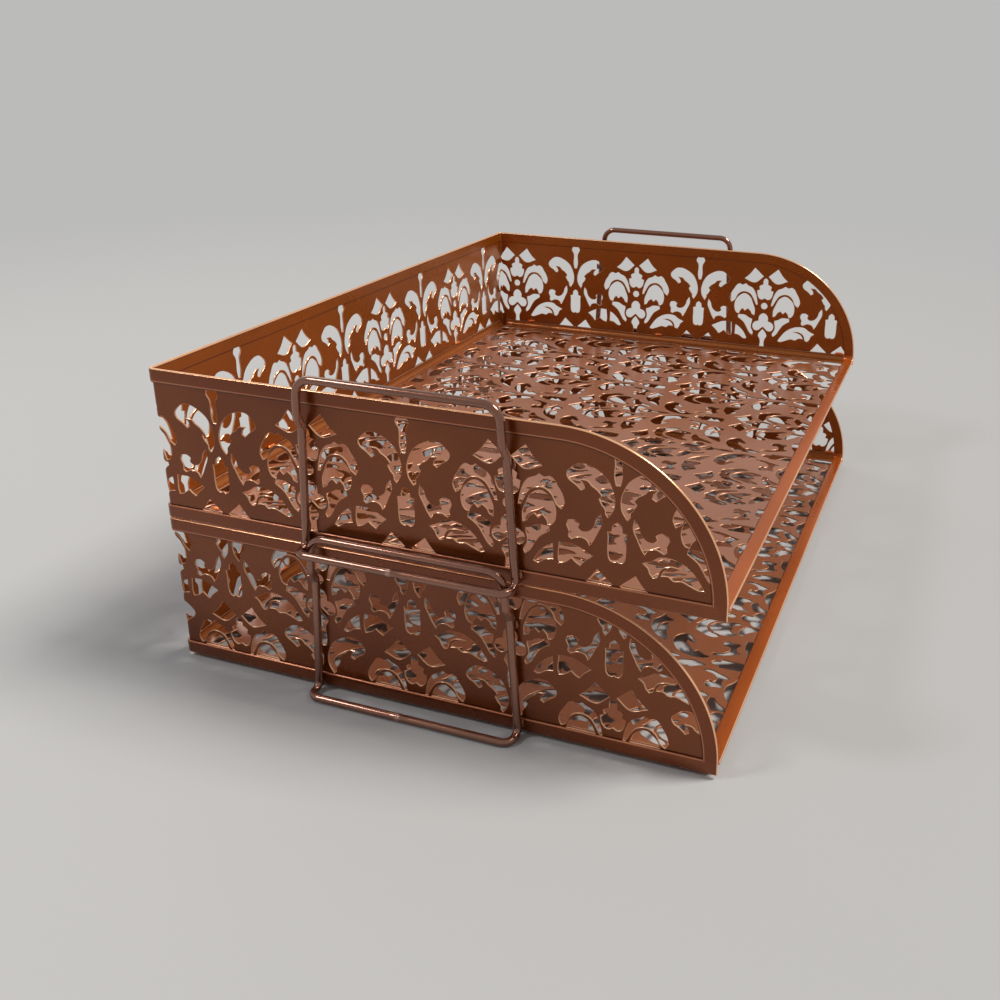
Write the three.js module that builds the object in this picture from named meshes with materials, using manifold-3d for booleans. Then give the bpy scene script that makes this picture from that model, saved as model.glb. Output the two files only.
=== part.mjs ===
// Stacking letter tray: two alike perforated steel trays, one on the other, each with two bent wire loops.
// Millimetres, +Z up, the open long side at -Y. The origin is under the middle, on the surface it stands on.
import * as THREE from "three";
import { mergeVertices } from "three/addons/utils/BufferGeometryUtils.js";
import Module from "manifold-3d";

const wasm = await Module();
wasm.setup();

// One tray, outside
const trayWidth = 343;
const trayDepth = 245;
const wallHeight = 66.4;
const frontCurveDepth = 65;
const frontCurveDrop = 62.2;
const cornerRadius = 3;

// Sheet metal and the edge strips that frame it
const sheetThickness = 0.8;
const stripThickness = 0.85;
const stripWidth = 6;
const stripClearance = 0.05;
const tightestCorner = 0.1;
const cutMargin = 0.7;

// Floor pan
const floorHeight = 2.9;
const floorFlangeHeight = 6.3;
const floorBendRadius = 3;
const floorClearance = 0.1;
const rearFlangeCornerGap = 4;
const floorMargin = 1;
const frontStripThickness = 0.5;

// Wire loops
const wireDiameter = 3.4;
const wireClearance = 0.3;
const loopCentreY = 5;
const loopTopHalf = 42.3;
const loopBottomHalf = 46.2;
const loopTopHeight = 72.5;
const loopTopOffset = 5;
const loopBottomOffset = 10;
const kinkTop = 57.5;
const kinkBottom = 52;
const loopTopRadius = 7;
const kinkRadius = 4;
const jogRadius = 3.4;
const loopBottomRadius = 4.6;

// Weld beads
const beadLength = 4.6;
const beadWidth = 2.6;
const beadHeight = 2.4;
const beadClearance = 0.15;
const beadSeat = 0.1;
const beadShift = 0.5;
const lowerBeadHeight = 4.6;
const upperBeadHeight = 48.5;
const tackLength = 5;
const tackSize = 1.3;
const frontTackInset = 8.8;
const middleTackY = 5.8;
const rearTackInset = 24.5;
const rearWallTackInset = 72.1;

// Stack
const stackGap = 0.3;

// Damask openings: half-drop repeat of a medallion column and a narrow column
const columnPitch = 43.04;
const halfDrop = 45.2;
const wallColumnFromCorner = 12.5;
const floorColumnX = -12.4;
const floorRowY = 1.9;
const upperWallRise = 0;
const lowerWallRise = 18;
const smallestOpeningArea = 4;

// Facets
const cornerFacets = 3;
const curveFacets = 9;
const bendFacets = 3;
const wireSides = 8;
const degreesPerWireFacet = 30;
const fewestBendFacets = 2;
const weldFacets = 6;
const tackFacets = 2;
const mergeDistance = 1e-4;

// Worked out from the sizes above
const halfWidth = trayWidth / 2;
const halfDepth = trayDepth / 2;
const wallThickness = stripThickness + stripClearance + sheetThickness;
const panelInset = stripThickness + stripClearance;
const wireRadius = wireDiameter / 2;
const skirtHeight = wireRadius;
const stackPitch = wallHeight + stackGap;
const legOffset = wireRadius + wireClearance;
const panHalfWidth = halfWidth - wallThickness - floorClearance;
const panRear = halfDepth - wallThickness - floorClearance;
const frontTackY = frontTackInset - halfDepth;
const sideTacksY = { front: frontTackY, middle: middleTackY, rear: halfDepth - rearTackInset };
const rearTackX = halfWidth - rearWallTackInset;
const fieldTop = wallHeight - stripWidth;
const beyond = 20;

const copper = new THREE.MeshStandardMaterial({ color: 0x9a5a3c, metalness: 0.85, roughness: 0.38 });
const brightCopper = new THREE.MeshStandardMaterial({ color: 0xb87050, metalness: 0.9, roughness: 0.3 });
const wirePaint = new THREE.MeshStandardMaterial({ color: 0x8a5c4c, metalness: 0.9, roughness: 0.28 });

// A closed geometry as a solid that can be joined and cut.
function solid(geometry) {
  const bare = geometry.index ? geometry.toNonIndexed() : geometry.clone();
  bare.deleteAttribute("normal");
  bare.deleteAttribute("uv");
  const merged = mergeVertices(bare, mergeDistance);
  return new wasm.Manifold(
    new wasm.Mesh({
      numProp: 3,
      vertProperties: merged.attributes.position.array,
      triVerts: new Uint32Array(merged.index.array),
    }),
  );
}

function geometryOf(made) {
  const { vertProperties, triVerts } = made.getMesh();
  const geometry = new THREE.BufferGeometry();
  geometry.setAttribute("position", new THREE.BufferAttribute(new Float32Array(vertProperties), 3));
  geometry.setIndex(new THREE.BufferAttribute(new Uint32Array(triVerts), 1));
  const flat = geometry.toNonIndexed();
  flat.computeVertexNormals();
  return flat;
}

// An outline drawn on a plane and extruded along its third axis, from one place to another.
const X = new THREE.Vector3(1, 0, 0);
const Y = new THREE.Vector3(0, 1, 0);
const Z = new THREE.Vector3(0, 0, 1);
const planes = { yz: [Y, Z, X], xy: [X, Y, Z], zx: [Z, X, Y] };

function prism(points, plane, from, to) {
  const shape = new THREE.Shape(points.map(([u, v]) => new THREE.Vector2(u, v)));
  const geometry = new THREE.ExtrudeGeometry(shape, { depth: to - from, bevelEnabled: false });
  geometry.translate(0, 0, from);
  return solid(geometry.applyMatrix4(new THREE.Matrix4().makeBasis(...planes[plane])));
}

// Points of a round or elliptic stretch, in degrees.
function arc(cx, cy, rx, ry, from, to, facets) {
  return Array.from({ length: facets + 1 }, (_, i) => {
    const angle = THREE.MathUtils.degToRad(from + ((to - from) * i) / facets);
    return [cx + rx * Math.cos(angle), cy + ry * Math.sin(angle)];
  });
}

// Plan of the U-shaped wall between two depths inside its outer face; its front ends reach past the front.
function wallPlan(inset, thickness) {
  const side = (depth) => {
    const x = halfWidth - depth;
    const r = Math.max(cornerRadius - depth, tightestCorner);
    const cx = x - r;
    const cy = halfDepth - depth - r;
    return [
      [x, -halfDepth - beyond],
      ...arc(cx, cy, r, r, 0, 90, cornerFacets),
      ...arc(-cx, cy, r, r, 90, 180, cornerFacets),
      [-x, -halfDepth - beyond],
    ];
  };
  return [...side(inset), ...side(inset + thickness).reverse()];
}

// Side view of the wall at a distance inside its edge: the quarter curve at the open front.
function sideView(edge) {
  const rearY = halfDepth + beyond;
  const curveY = -halfDepth + frontCurveDepth;
  const curveZ = wallHeight - frontCurveDrop;
  const quarter = arc(curveY, curveZ, frontCurveDepth - edge, frontCurveDrop - edge, 180, 90, curveFacets);
  const above = quarter.filter(([, z]) => z > edge);
  return [[rearY, edge], [-halfDepth + edge, edge], ...above, [rearY, wallHeight - edge]];
}

const acrossTray = (edge) => prism(sideView(edge), "yz", -halfWidth - beyond, halfWidth + beyond);

// Openings of one repeat, the medallion column at x = 0, heights from its own base line.
const mirrored = (points) => [points, points.map(([x, y]) => [-x, y])];
const diamond = [[1.7, 51.7], [7.4, 56.8], [13.8, 49.6], [7, 47.5]];
const crown = [[0, 50.6], [-4.8, 42.5], [0, 36.2], [4.8, 42.5]];
const archedPetal = [[6, 27], [8.5, 43.5], [16, 46.4], [22, 38.5], [17.5, 27.5]];
const bulb = [[0, 28], [-6.6, 19.5], [-4, 16.8], [4, 16.8], [6.6, 19.5]];
const spade = [[0, 16], [-2.7, 12], [0, 1.2], [2.7, 12]];
const acanthus = [[10.3, 10.8], [17, 19.8], [33, 17.2], [27.5, 12.4]];
const scroll = [[3.9, -11.8], [2, 0], [9, 6.6], [19.3, 3.5], [8.5, -0.7]];
const hook = [[6.5, -11.4], [8.5, -21.5], [18.8, -22], [10.8, -18.6]];
const bullet = [[0, -13.6], [-3.6, -18], [0, -29.8], [3.6, -18]];
const leafOpenings = mirrored(acanthus);
const mostOpenings = [archedPetal, scroll, diamond].flatMap(mirrored).concat([crown, bulb, bullet]);
const wallOpenings = [...mostOpenings, spade, ...mirrored(hook)];
const floorOpenings = [...mostOpenings, ...leafOpenings];

// Every placed opening of a field, given the place of one medallion and the field's limits.
function pattern(openings, column0, row0, [x0, x1], [z0, z1]) {
  const placed = [];
  const period = 2 * halfDrop;
  const firstColumn = Math.floor((x0 - column0) / columnPitch) - 1;
  for (let c = firstColumn; column0 + c * columnPitch < x1 + columnPitch; c++) {
    const drop = c % 2 ? halfDrop : 0;
    const firstRow = Math.floor((z0 - row0 - drop) / period) - 1;
    for (let r = firstRow; row0 + drop + r * period < z1 + period; r++) {
      const x = column0 + c * columnPitch;
      const z = row0 + drop + r * period;
      placed.push(...openings.map((points) => points.map(([u, v]) => [x + u, z + v])));
    }
  }
  return placed.filter((points) => {
    const us = points.map(([u]) => u);
    const vs = points.map(([, v]) => v);
    return Math.max(...us) > x0 && Math.min(...us) < x1 && Math.max(...vs) > z0 && Math.min(...vs) < z1;
  });
}

// Cuts each opening that keeps a fair area inside the field.
function perforate(panel, cutters, field, depth) {
  for (const cutter of cutters) {
    const inside = cutter.intersect(field);
    if (inside.volume() > smallestOpeningArea * depth) panel = panel.subtract(inside);
  }
  return panel;
}

// Openings of the wall over a stretch of the sheet. The acanthus leaves are there only where they are whole
// below the rim; the others may be cut short by it.
function wallPattern(rise, from, to) {
  const over = (openings) =>
    pattern(openings, wallColumnFromCorner - halfWidth, rise, [from, to], [0, wallHeight]);
  const leaves = over(leafOpenings).filter((points) => points.every(([, z]) => z < fieldTop));
  return [...over(wallOpenings), ...leaves];
}

// Perforated U-shaped wall, bent from one sheet. Its pattern runs on round the corners, so an opening there
// is cut from both sides; u is the way along the sheet from the middle of the rear.
function wallPanel(rise) {
  const bent = prism(wallPlan(panelInset, sheetThickness), "xy", 0, wallHeight);
  const blank = bent.intersect(acrossTray(panelInset));
  const innerDepth = panelInset + sheetThickness + cutMargin;
  const outerDepth = panelInset - cutMargin;
  const cutDepth = innerDepth - outerDepth;
  const end = halfWidth + trayDepth;
  const rear = wallPattern(rise, -halfWidth, halfWidth).map((points) => {
    const outline = points.map(([u, z]) => [z, u]);
    return prism(outline, "zx", halfDepth - innerDepth, halfDepth - outerDepth);
  });
  const right = wallPattern(rise, halfWidth, end).map((points) => {
    const outline = points.map(([u, z]) => [halfDepth + halfWidth - u, z]);
    return prism(outline, "yz", halfWidth - innerDepth, halfWidth - outerDepth);
  });
  const left = wallPattern(rise, -end, -halfWidth).map((points) => {
    const outline = points.map(([u, z]) => [halfDepth + halfWidth + u, z]);
    return prism(outline, "yz", outerDepth - halfWidth, innerDepth - halfWidth);
  });
  return perforate(blank, [...rear, ...right, ...left], acrossTray(stripWidth), cutDepth);
}

// The edge strips lap the outside of the sheet and cap its edge.
function edgeStrips() {
  const block = prism(wallPlan(0, wallThickness), "xy", 0, wallHeight).intersect(acrossTray(0));
  const behind = prism(wallPlan(stripThickness, wallThickness), "xy", 0, wallHeight);
  return block.subtract(behind.intersect(acrossTray(stripThickness))).subtract(acrossTray(stripWidth));
}

function slab(z0, z1) {
  const x = halfWidth + beyond;
  const y = halfDepth + beyond;
  return prism([[-x, -y], [x, -y], [x, y], [-x, y]], "xy", z0, z1);
}

const rimStrip = () => edgeStrips().intersect(slab(stripWidth, wallHeight + beyond));
const skirtStrip = () => edgeStrips().intersect(slab(-beyond, stripWidth - stripClearance));

// Half of the floor pan's section at a depth under its upper face: the flat part's end, the bend, the flange.
function panSection(reach, depth) {
  const bendCentre = reach - sheetThickness - floorBendRadius;
  const r = floorBendRadius + depth;
  const bend = arc(bendCentre, floorHeight + floorBendRadius, r, r, -90, 0, bendFacets);
  return [...bend, [bendCentre + r, floorFlangeHeight]];
}

// The band between two depths under the pan's upper face, from the left flange to the right one.
function panBand(above, below) {
  const line = (depth) => {
    const half = panSection(panHalfWidth, depth);
    return [...half.map(([x, z]) => [-x, z]).reverse(), ...half];
  };
  return [...line(below), ...line(above).reverse()];
}

// A band of the pan's section, run along the depth from one place to another.
function alongDepth(band, from, to) {
  const outline = band.map(([x, z]) => [z, x]);
  return prism(outline, "zx", from, to);
}

function floorPan() {
  const frontY = -halfDepth + frontStripThickness + stripClearance;
  const flatX = panHalfWidth - sheetThickness - floorBendRadius;
  const flatY = panRear - sheetThickness - floorBendRadius;
  const sides = alongDepth(panBand(0, sheetThickness), frontY, flatY);
  const rearSection = [
    [flatY - beyond, floorHeight - sheetThickness],
    ...panSection(panRear, sheetThickness),
    ...panSection(panRear, 0).reverse(),
    [flatY - beyond, floorHeight],
  ];
  const rearX = panHalfWidth - rearFlangeCornerGap;
  const blank = sides.add(prism(rearSection, "yz", -rearX, rearX));
  const xs = [floorMargin - flatX, flatX - floorMargin];
  const ys = [-halfDepth + stripWidth, flatY - floorMargin];
  const corners = [[xs[0], ys[0]], [xs[1], ys[0]], [xs[1], ys[1]], [xs[0], ys[1]]];
  const bottom = floorHeight - sheetThickness - cutMargin;
  const top = floorHeight + cutMargin;
  const cutters = pattern(floorOpenings, floorColumnX, floorRowY, xs, ys).map((points) =>
    prism(points, "xy", bottom, top),
  );
  return perforate(blank, cutters, prism(corners, "xy", bottom - beyond, top + beyond), top - bottom);
}

// The front strip laps the floor's front edge and turns up with its flanges.
function frontStrip() {
  const lap = panBand(-frontStripThickness, -stripClearance);
  const cap = panBand(-frontStripThickness, sheetThickness);
  const front = -halfDepth;
  return alongDepth(lap, front, front + stripWidth).add(alongDepth(cap, front, front + frontStripThickness));
}

// Corners of one wire loop: outward offset from the wall, place along it, height, bend radius.
function loopCorners() {
  const side = (sign) => [
    [loopTopOffset, legY(sign, loopTopHeight), loopTopHeight, loopTopRadius],
    [loopTopOffset, legY(sign, kinkTop), kinkTop, kinkRadius],
    [legOffset, legY(sign, kinkBottom), kinkBottom, kinkRadius],
    [legOffset, legY(sign, 0), 0, jogRadius],
    [loopBottomOffset, legY(sign, 0), 0, loopBottomRadius],
  ];
  return [...side(-1), ...side(1).reverse()].map(([offset, y, z, radius]) => ({
    at: new THREE.Vector3(-halfWidth - offset, y, z),
    radius,
  }));
}

// Each corner turned into the points of its bend.
function bendPoints(previous, { at, radius }, next) {
  const back = previous.at.clone().sub(at).normalize();
  const ahead = next.at.clone().sub(at).normalize();
  const turn = Math.PI - back.angleTo(ahead);
  const setBack = radius * Math.tan(turn / 2);
  const centre = back.clone().add(ahead).normalize().multiplyScalar(radius / Math.cos(turn / 2)).add(at);
  const steps = Math.max(fewestBendFacets, Math.ceil(THREE.MathUtils.radToDeg(turn) / degreesPerWireFacet));
  const start = back.clone().multiplyScalar(setBack).add(at).sub(centre);
  const end = ahead.clone().multiplyScalar(setBack).add(at).sub(centre);
  const axis = start.clone().cross(end).normalize();
  return Array.from({ length: steps + 1 }, (_, i) =>
    start.clone().applyAxisAngle(axis, (turn * i) / steps).add(centre),
  );
}

const loopPoints = (() => {
  const corners = loopCorners();
  const n = corners.length;
  return corners.flatMap((corner, i) => bendPoints(corners[(i + n - 1) % n], corner, corners[(i + 1) % n]));
})();

// The sideways or upright direction, square to the path, that lies nearest to the last ring's own.
function ringDirection(last, tangent) {
  const choices = [X, Z].flatMap((axis) => [axis.clone(), axis.clone().negate()]);
  const square = choices.map((choice) => choice.projectOnPlane(tangent).normalize());
  return square.reduce((best, choice) => (choice.dot(last) > best.dot(last) ? choice : best));
}

// A closed tube along the loop. Its rings turn with the path, so that flat sides face the wall and the table.
function wireLoop(radius) {
  const n = loopPoints.length;
  const corner = radius / Math.cos(Math.PI / wireSides);
  const positions = [];
  const faces = [];
  let across = X;
  loopPoints.forEach((point, i) => {
    const back = point.clone().sub(loopPoints[(i + n - 1) % n]).normalize();
    const ahead = loopPoints[(i + 1) % n].clone().sub(point).normalize();
    const tangent = back.add(ahead).normalize();
    across = ringDirection(across, tangent);
    const up = tangent.clone().cross(across);
    for (let j = 0; j < wireSides; j++) {
      const angle = (2 * Math.PI * (j + 0.5)) / wireSides;
      const place = point.clone().addScaledVector(across, corner * Math.cos(angle));
      positions.push(...place.addScaledVector(up, corner * Math.sin(angle)));
      const [here, beside] = [i * wireSides + j, i * wireSides + ((j + 1) % wireSides)];
      const [onward, onwardBeside] = [here, beside].map((k) => (k + wireSides) % (n * wireSides));
      faces.push(here, beside, onwardBeside, here, onwardBeside, onward);
    }
  });
  const geometry = new THREE.BufferGeometry();
  geometry.setAttribute("position", new THREE.Float32BufferAttribute(positions, 3));
  geometry.setIndex(faces);
  return solid(geometry);
}

// Place along the wall of a loop's leg at a height, on the front side (-1) or the rear side (1).
function legY(sign, z) {
  return loopCentreY + sign * (loopBottomHalf + ((loopTopHalf - loopBottomHalf) * z) / loopTopHeight);
}

// A weld bead in the groove between a leg and the wall, on the side away from the loop's middle.
function wireBead(sign, z, face) {
  const ball = new THREE.SphereGeometry(1, weldFacets, weldFacets - 2);
  ball.scale(beadHeight / 2, beadWidth / 2, beadLength / 2);
  ball.translate(face - beadShift, legY(sign, z) + sign * (wireRadius + beadShift), z);
  const seat = face - beadSeat;
  const behindFace = [[z - beyond, seat], [z + beyond, seat], [z + beyond, 0], [z - beyond, 0]];
  const wall = prism(behindFace, "zx", -halfDepth, halfDepth);
  const lumps = solid(ball).subtract(wireLoop(wireRadius + beadClearance)).subtract(wall).decompose();
  return lumps.sort((a, b) => b.volume() - a.volume())[0];
}

// A tack weld on top of the floor's flange, against the wall, with its length along Y.
function flangeTack(wallFace, along) {
  const corner = [floorFlangeHeight + stripClearance, wallFace - stripClearance];
  const round = arc(...corner, tackSize, tackSize, 0, -90, tackFacets);
  return prism([corner, ...round], "zx", along - tackLength / 2, along + tackLength / 2);
}

function part(name, made, material) {
  const mesh = new THREE.Mesh(geometryOf(made), material);
  mesh.name = name;
  return mesh;
}

function mirror(mesh, sideways) {
  if (sideways) mesh.scale.x = -1;
  return mesh;
}

function wires(tray) {
  const heights = { upper: [upperBeadHeight, -halfWidth + panelInset], lower: [lowerBeadHeight, -halfWidth] };
  const meshes = [];
  for (const side of ["left", "right"]) {
    meshes.push(mirror(part(`${tray}_${side}_wire_loop`, wireLoop(wireRadius), wirePaint), side === "right"));
    for (const [end, sign] of [["front", -1], ["rear", 1]])
      for (const [level, [z, face]] of Object.entries(heights)) {
        const bead = part(`${tray}_${side}_${end}_${level}_wire_weld`, wireBead(sign, z, face), wirePaint);
        meshes.push(mirror(bead, side === "right"));
      }
  }
  return meshes;
}

function tacks(tray) {
  const meshes = [];
  for (const side of ["left", "right"])
    for (const [place, y] of Object.entries(sideTacksY)) {
      const made = flangeTack(halfWidth - wallThickness, y);
      const tack = part(`${tray}_${side}_${place}_floor_tack`, made, copper);
      meshes.push(mirror(tack, side === "left"));
    }
  for (const [side, x] of [["left", -rearTackX], ["right", rearTackX]]) {
    const tack = part(`${tray}_rear_${side}_floor_tack`, flangeTack(halfDepth - wallThickness, 0), copper);
    tack.rotation.z = Math.PI / 2;
    tack.position.x = x;
    meshes.push(tack);
  }
  return meshes;
}

function letterTray(tray, rise) {
  const group = new THREE.Group();
  group.add(
    part(`${tray}_wall_panel`, wallPanel(rise), copper),
    part(`${tray}_rim_strip`, rimStrip(), brightCopper),
    part(`${tray}_skirt_strip`, skirtStrip(), copper),
    part(`${tray}_floor_pan`, floorPan(), copper),
    part(`${tray}_front_strip`, frontStrip(), brightCopper),
    ...wires(tray),
    ...tacks(tray),
  );
  return group;
}

const stack = new THREE.Group();
const lower = letterTray("lower", lowerWallRise);
lower.position.z = skirtHeight;
const upper = letterTray("upper", upperWallRise);
upper.position.z = skirtHeight + stackPitch;
stack.add(lower, upper);

export default stack;
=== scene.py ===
"""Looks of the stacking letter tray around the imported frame: perforated sheets, strips, wires and welds.

Lengths in this script are millimetres, and each mesh is written in metres. The frame has +Z up, the open long
side at -Y, and its origin under the middle of the stack.
"""
import math

import bpy
import bmesh
import numpy as np
from mathutils import Matrix, Vector, noise
from mathutils.geometry import delaunay_2d_cdt


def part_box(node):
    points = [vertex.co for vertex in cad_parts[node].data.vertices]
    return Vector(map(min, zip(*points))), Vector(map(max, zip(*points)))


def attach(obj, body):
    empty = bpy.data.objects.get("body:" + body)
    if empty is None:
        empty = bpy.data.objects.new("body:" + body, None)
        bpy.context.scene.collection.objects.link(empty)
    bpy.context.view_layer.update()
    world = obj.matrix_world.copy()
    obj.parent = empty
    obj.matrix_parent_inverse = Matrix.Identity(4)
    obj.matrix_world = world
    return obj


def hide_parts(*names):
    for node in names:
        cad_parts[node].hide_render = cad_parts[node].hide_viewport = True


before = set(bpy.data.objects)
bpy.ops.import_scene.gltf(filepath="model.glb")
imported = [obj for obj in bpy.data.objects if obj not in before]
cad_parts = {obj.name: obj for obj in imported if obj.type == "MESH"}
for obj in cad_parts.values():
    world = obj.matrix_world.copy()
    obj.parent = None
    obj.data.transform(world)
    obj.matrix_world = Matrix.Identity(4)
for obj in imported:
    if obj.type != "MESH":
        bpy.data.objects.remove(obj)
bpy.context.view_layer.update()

MM = 0.001
TRAYS = ("lower", "upper")
SIDES = {"left": 1, "right": -1}

# Sheet metal, the strips and the pan, as in the part
SHEET = 0.8
STRIP = 0.85
SEAM = 0.05
STRIP_WIDTH = 6.0
CORNER_RADIUS = 3.0
CURVE_DEPTH = 65.0
CURVE_DROP = 62.2
FLOOR_HEIGHT = 2.9
FLANGE_HEIGHT = 6.3
FLOOR_BEND = 3.0
FLANGE_CORNER_GAP = 4.0
FLOOR_MARGIN = 1.0
FRONT_STRIP = 0.5
PAN_CLEARANCE = 0.1

# Wire loops, as in the part
WIRE_RADIUS = 1.7
WIRE_CLEARANCE = 0.3
LOOP_CENTRE = 5.0
LOOP_TOP_HALF = 42.3
LOOP_BOTTOM_HALF = 46.2
LOOP_TOP = 72.5
LOOP_TOP_OFFSET = 5.0
LOOP_BOTTOM_OFFSET = 10.0
KINK_TOP = 57.5
KINK_BOTTOM = 52.0
BEND_RADII = {"top": 7.0, "kink": 4.0, "jog": 3.4, "bottom": 4.6}

# Places that follow from the frame
rim_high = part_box("upper_rim_strip")[1]
HALF_WIDTH = rim_high.x / MM
HALF_DEPTH = rim_high.y / MM
BASE = {tray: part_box(f"{tray}_skirt_strip")[0].z / MM for tray in TRAYS}
WALL_HEIGHT = rim_high.z / MM - BASE["upper"]
PANEL_INSET = STRIP + SEAM
WALL = PANEL_INSET + SHEET
PAN_HALF_WIDTH = HALF_WIDTH - WALL - PAN_CLEARANCE
PAN_REAR = HALF_DEPTH - WALL - PAN_CLEARANCE
FLAT_X = PAN_HALF_WIDTH - SHEET - FLOOR_BEND
FLAT_Y = PAN_REAR - SHEET - FLOOR_BEND
LEG_OFFSET = WIRE_RADIUS + WIRE_CLEARANCE

# Damask repeat: a medallion column and a narrow column, half a period apart
PITCH = 43.04
HALF_DROP = 45.2
WALL_COLUMN_FROM_CORNER = 12.5
WALL_RISE = {"upper": 0.0, "lower": 18.0}
FLOOR_COLUMN_X = -12.4
FLOOR_ROW_Y = 1.9

# How much of an opening has to show inside the strips for it to be cut
LEAST_SHOWN = 2.2

# Bevel of the cut edges, with the limit that keeps it short at sharp tips
EDGE_BEVEL = 0.18
LEAST_SPREAD = 0.5

# Width of the painted shade line between a sheet and its strips
SEAM_SHADE_WIDTH = 0.4

# Fineness, with turns in degrees
OUTLINE_STEP = 1.1
SHARP_TURN = 62
CORNER_STEPS = 8
CURVE_STEPS = 40
WIRE_SIDES = 18
WIRE_STEP = 5.0
WIRE_TURN = 9
FEWEST_BEND_STEPS = 4
SHEET_SHARPNESS = 35
STRIP_SHARPNESS = 40
WIRE_SHARPNESS = 60

# More places along the wall: back from the curve's end, back from the foot, and out from the rear's middle
TOP_STOPS = (60, 120)
FOOT_STOPS = (80, 160)
REAR_STOP = 80.0

# Lengths that count as nothing
CLOSE = 0.01
SAME_PLACE = 0.05
MERGE = 1e-5
TINY = 1e-6

# Material slots of the sheets, then of the strips; the inner slot takes a lighter copy of the paint as
# painted light
FACE, CUT, SEAM_SHADE_BAND, INNER = range(4)
STRIP_FACE, STRIP_NOSE_HIGHLIGHT, STRIP_SEAM_SHADE, STRIP_HIGHLIGHT_LINE = range(4)

# Damask outlines, across from the column's middle and up from its base line: halves of the middle shapes
HALVES = {
    "crown": [
        (0, 50.6), (1.2, 49.8), (1.5, 46.5), (2.9, 46), (3.9, 45.2), (3.4, 43), (5.2, 42.4), (4.5, 39),
        (3.2, 37.2), (1.5, 36.9), (0, 37.8),
    ],
    "bulb": [
        (0, 28), (2, 27), (3, 25), (2.9, 22.9), (5.3, 22.1), (6.7, 20.3), (6.4, 17.8), (4.7, 16.5),
        (3, 16.7), (1.3, 18.2), (0, 19.3),
    ],
    "spade": [
        (0, 17.6), (2.4, 14.6), (2.8, 13.2), (1.5, 11), (1.2, 9), (1.4, 6.5), (1.4, 4), (0.8, 1.1), (0, 1.1),
    ],
    "bullet": [
        (0, -13.4), (1.6, -14.7), (1.9, -17.2), (3.6, -17.6), (3.4, -19.7), (3.4, -25.2), (2.6, -28.9),
        (0.9, -29.4), (0, -28.9),
    ],
}

# Outlines that have a mirrored twin on the left
RIGHTS = {
    "diamond": [(1.6, 51.7), (7.4, 56.8), (11, 52), (13.8, 49.6), (7, 47.5)],
    "crescent": [
        (4.3, 33.2), (5, 37), (6.4, 41.2), (8.5, 44), (11, 45), (12.7, 46.3), (14.8, 45.3), (16.8, 46),
        (18.9, 44.5), (19.8, 42.8), (21.4, 40.3), (22.5, 36.2), (21.4, 33.7), (19.3, 35.3), (17.7, 38.7),
        (15.2, 40.8), (12.7, 41.2), (9.3, 39.9), (6.8, 36.2), (5.3, 33.2),
    ],
    "petal": [
        (13.1, 39.9), (9.3, 37.8), (7.3, 33.7), (6, 30.3), (6, 26.2), (7.7, 27), (8.5, 28.7), (10.6, 30.3),
        (12.3, 28.7), (13.9, 30.3), (15.6, 28.3), (16, 26.6), (17.7, 27), (19.2, 30.3), (18.9, 34.5),
        (16.8, 37.8),
    ],
    "side_leaf": [
        (11.8, 25.8), (16.4, 25.9), (16.7, 24.1), (12.7, 21.2), (11, 18.7), (8.5, 14.5), (6.8, 13.2),
        (6.2, 14.5), (7.7, 17.8), (7.8, 20.3), (7.3, 22), (7.3, 23.7), (9.3, 24.3),
    ],
    "scroll": [
        (3.7, -11.9), (1.8, -9), (1.2, -4.9), (2.2, -0.7), (4.3, 3.1), (8.1, 6), (12.2, 7.5), (15.6, 7.2),
        (17.7, 5.6), (19.6, 3.1), (18.9, 1), (16.4, -0.7), (14.1, -2.8), (12.7, -1.9), (13.1, -0.3),
        (14.7, 1.4), (11.4, 1.1), (10.2, -0.3), (7.7, -2), (6, -4), (7.1, -5.3), (6, -7.4), (4.7, -9),
        (4.6, -10.7),
    ],
    "hook": [
        (6.4, -11.2), (6, -14.9), (7.7, -19), (9.3, -22.4), (10.6, -24.4), (11.6, -22.4), (14.8, -21.5),
        (17.7, -22.8), (18.8, -21.9), (18.5, -19.9), (19.6, -17.4), (18.9, -15.3), (16.4, -14.9),
        (14.6, -16.1), (15.2, -17.8), (13.9, -19), (11.4, -18.9), (8.9, -16.5), (7.9, -13.2),
    ],
}

# Leaves, each of which stands alone
LEAVES = {
    "acanthus_right": [
        (10.1, 10.8), (11.9, 13.7), (14.4, 17), (17.8, 19.5), (21.9, 21), (26.9, 20.8), (29.4, 19.1),
        (33.2, 17.4), (31.1, 15.8), (30.3, 13.7), (29, 12.2), (27.6, 12.7), (27.1, 14.5), (25.9, 16.6),
        (22.8, 17.9), (19, 17.6), (22.6, 16.9), (25.1, 15.6), (26.1, 13.6), (23.2, 13.7), (21.5, 12.4),
        (18.6, 12.8), (14.4, 11.2), (11.5, 10.3),
    ],
    "acanthus_left_outer": [
        (-33.7, 16.8), (-28.9, 19.3), (-26.4, 20.3), (-20.6, 20.3), (-20.2, 13.7), (-20.6, 11.8),
        (-22.7, 12.4), (-25.6, 14.5), (-26.8, 13.3), (-28.9, 12), (-30.2, 13.7), (-31, 14.5),
    ],
    "acanthus_left_inner": [
        (-17.9, 19.1), (-15.6, 17.8), (-12.3, 14.5), (-10.2, 10.8), (-11.4, 10.2), (-15.6, 12.4),
        (-18.1, 12.8),
    ],
}

# The round dot between the crown and the bulb
DOT_CENTRE = (0, 32.7)
DOT_RADIUS = 2.05
DOT_SIDES = 16


def mirrored(points):
    return [(-x, y) for x, y in reversed(points)]


def signed_area(points):
    return sum(a[0] * b[1] - b[0] * a[1] for a, b in zip(points, points[1:] + points[:1])) / 2


def counter_clockwise(points):
    return points if signed_area(points) > 0 else points[::-1]


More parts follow.
